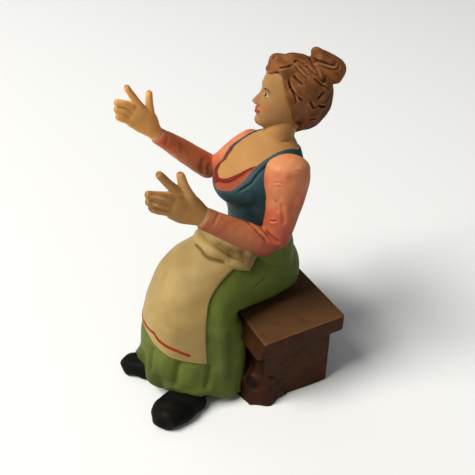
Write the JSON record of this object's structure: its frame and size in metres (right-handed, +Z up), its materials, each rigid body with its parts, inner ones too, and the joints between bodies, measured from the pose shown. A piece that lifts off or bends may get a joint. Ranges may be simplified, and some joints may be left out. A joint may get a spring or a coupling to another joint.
{
  "type": "terracotta seated woman figurine",
  "caption": "Hand-painted terracotta figurine of a woman with a bun, seated on a low bench with both open hands held out; stands by its own weight.",
  "frame": {"origin": "on the ground under the middle of the bench's box", "axes": "+Z up; she faces -Y and her left side is +X; the bench is long in X"},
  "size_m": [0.0738, 0.0916, 0.1351],
  "materials": {
    "painted_terracotta": "hand-painted fired clay, satin; skin, brown hair, blue bodice, salmon sleeves, cream apron, green skirt and black shoes",
    "brown_terracotta": "fired clay painted dark brown, satin, redder on the rough lump"
  },
  "bodies": {
    "root": {"seated_woman": "painted_terracotta", "bench": "brown_terracotta"}
  },
  "joints": []
}
